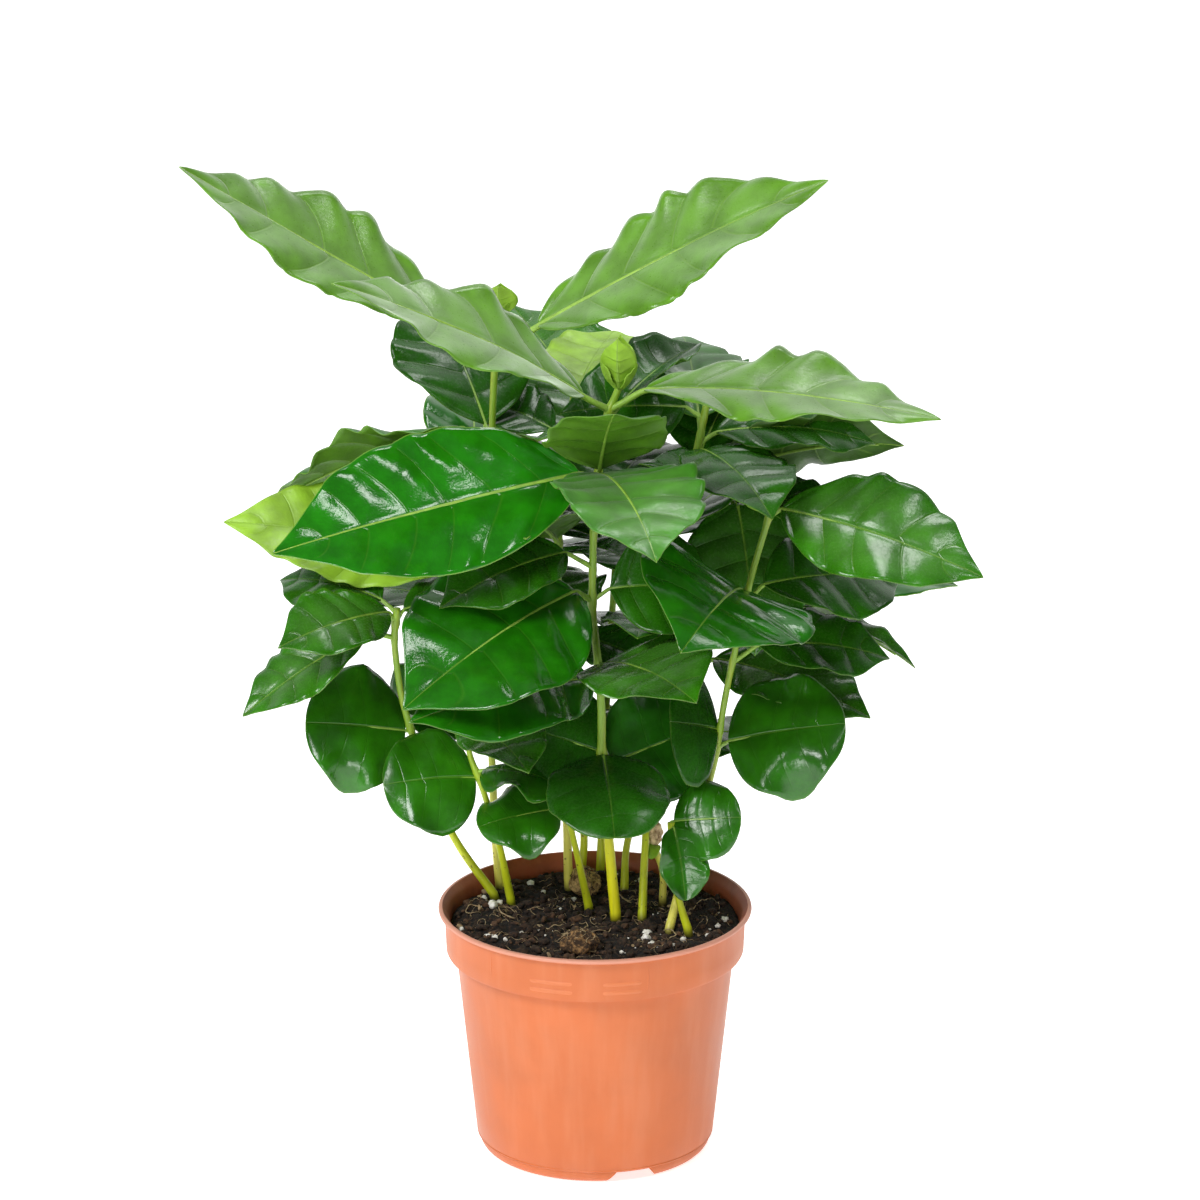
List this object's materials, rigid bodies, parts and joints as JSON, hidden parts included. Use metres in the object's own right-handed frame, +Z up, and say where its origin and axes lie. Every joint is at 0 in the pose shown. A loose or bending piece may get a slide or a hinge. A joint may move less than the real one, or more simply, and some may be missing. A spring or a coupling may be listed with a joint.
{
  "type": "potted coffee plant",
  "caption": "Young coffee plant: a tuft of upright seedlings with opposite glossy wavy-edged leaves, in a round terracotta-coloured plastic nursery pot of soil.",
  "frame": {"origin": "middle of the pot's underside, on the surface that it stands on", "axes": "+Z up through the pot and the stems; -Y towards the side with the widest show of leaves; +X to the right of that side"},
  "size_m": [0.2996, 0.2384, 0.3862],
  "materials": {
    "pot": "satin",
    "soil": "matte",
    "husk": "matte",
    "stem": "satin",
    "leaf": "gloss"
  },
  "bodies": {
    "root": {"pot": "pot", "soil": "soil", "husk": "husk", "stem_sprout": "stem", "stem_centre": "stem", "stem_tall": "stem", "stem_left": "stem", "stem_saddle": "stem", "stem_right": "stem", "stem_second": "stem", "stem_short": "stem", "stem_folded": "stem", "stem_inner": "stem", "stem_rear": "stem", "stem_rear_left": "stem", "stem_rear_right": "stem", "foliage_centre": "leaf", "foliage_tall": "leaf", "foliage_left": "leaf", "foliage_saddle": "leaf", "foliage_right": "leaf", "foliage_second": "leaf", "foliage_short": "leaf", "foliage_folded": "leaf", "foliage_inner": "leaf", "foliage_rear": "leaf", "foliage_rear_left": "leaf", "foliage_rear_right": "leaf"}
  },
  "joints": []
}
